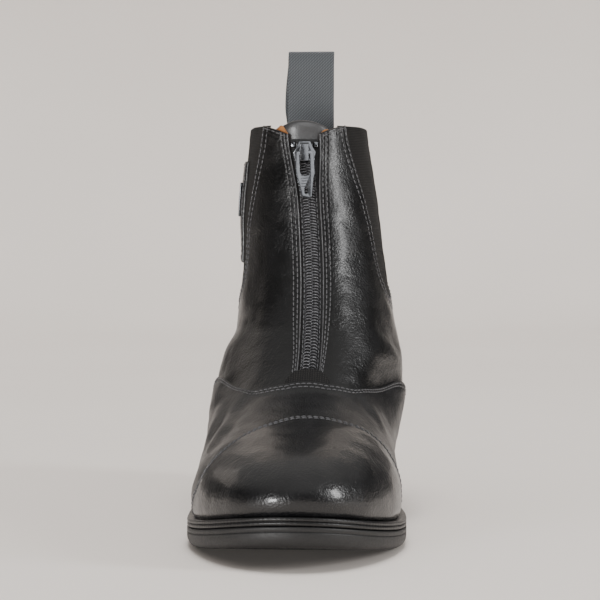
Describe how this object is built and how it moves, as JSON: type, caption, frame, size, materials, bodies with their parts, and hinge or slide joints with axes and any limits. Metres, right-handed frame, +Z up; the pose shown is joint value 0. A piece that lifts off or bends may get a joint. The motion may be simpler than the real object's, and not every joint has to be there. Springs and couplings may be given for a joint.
{
  "type": "paddock boot",
  "caption": "Ankle-high leather riding boot for the right foot with a front zip, elastic side gores, toe cap, rear pull loop and a low-heeled rubber sole.",
  "frame": {"origin": "centre of the bounding box in plan, on the floor that the sole stands on", "axes": "-Y towards the toe, +Z up, +X medial, the wearer's left"},
  "size_m": [0.1044, 0.2816, 0.2481],
  "materials": {
    "sole_rubber": "matt moulded",
    "welt_rubber": "satin moulded",
    "tan_lining": "matt",
    "black_leather": "glossy smooth grain",
    "polished_leather": "high polish",
    "elastic": "fine ribbed weave",
    "zip_nylon": "satin",
    "dark_nickel": "dark nickel plate",
    "webbing": "twill"
  },
  "bodies": {
    "boot": {"outsole": "sole_rubber", "heel": "sole_rubber", "welt": "welt_rubber", "insole": "tan_lining", "upper": "black_leather", "vamp": "black_leather", "toe_cap": "polished_leather", "gore_lateral": "elastic", "gore_medial": "elastic", "tongue": "black_leather", "zip_end_patch": "elastic", "zip_tape": "zip_nylon", "zip_coil": "zip_nylon", "zip_stop_lateral": "dark_nickel", "zip_stop_medial": "dark_nickel", "zip_slider": "dark_nickel", "pull_loop": "webbing", "badge_patch": "black_leather", "badge_bar": "dark_nickel"},
    "zip_pull": {"zip_pull": "dark_nickel"}
  },
  "joints": [
    {"name": "zip_pull_swing", "type": "hinge", "parent": "boot", "child": "zip_pull", "pos_m": [0, 0.01374, 0.18704], "axis": [-1, 0, 0], "range_deg": [0, 150]}
  ]
}
